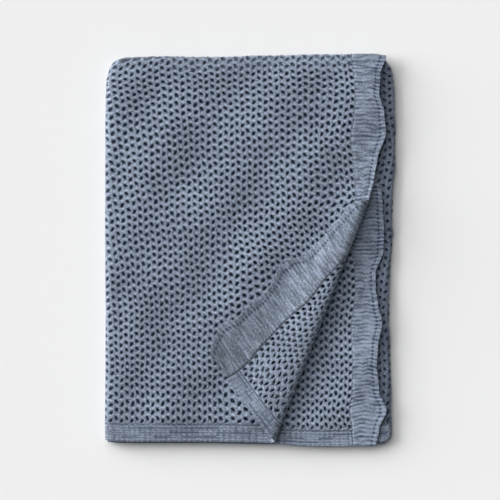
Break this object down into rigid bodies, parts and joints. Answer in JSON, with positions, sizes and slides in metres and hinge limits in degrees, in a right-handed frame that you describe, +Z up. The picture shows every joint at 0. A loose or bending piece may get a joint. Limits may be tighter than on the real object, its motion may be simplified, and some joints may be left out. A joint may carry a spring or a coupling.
{
  "type": "folded knit throw",
  "caption": "Openwork knit throw with ribbed side bands and hems, folded in half and then in thirds, with a turned-back corner.",
  "frame": {"origin": "centre of the underside that the throw rests on", "axes": "+Z up out of the resting face, +Y towards the edge where the throw is folded in half, +X towards the ribbed side bands of the top layers"},
  "size_m": [0.481, 0.648, 0.0432],
  "materials": {
    "open_knit": "matte heathered knit yarn",
    "rib_knit": "matte heathered knit yarn, ribbed"
  },
  "bodies": {
    "root": {"open_knit_panel": "open_knit", "side_band_outer": "rib_knit", "side_band_tucked": "rib_knit"}
  },
  "joints": []
}
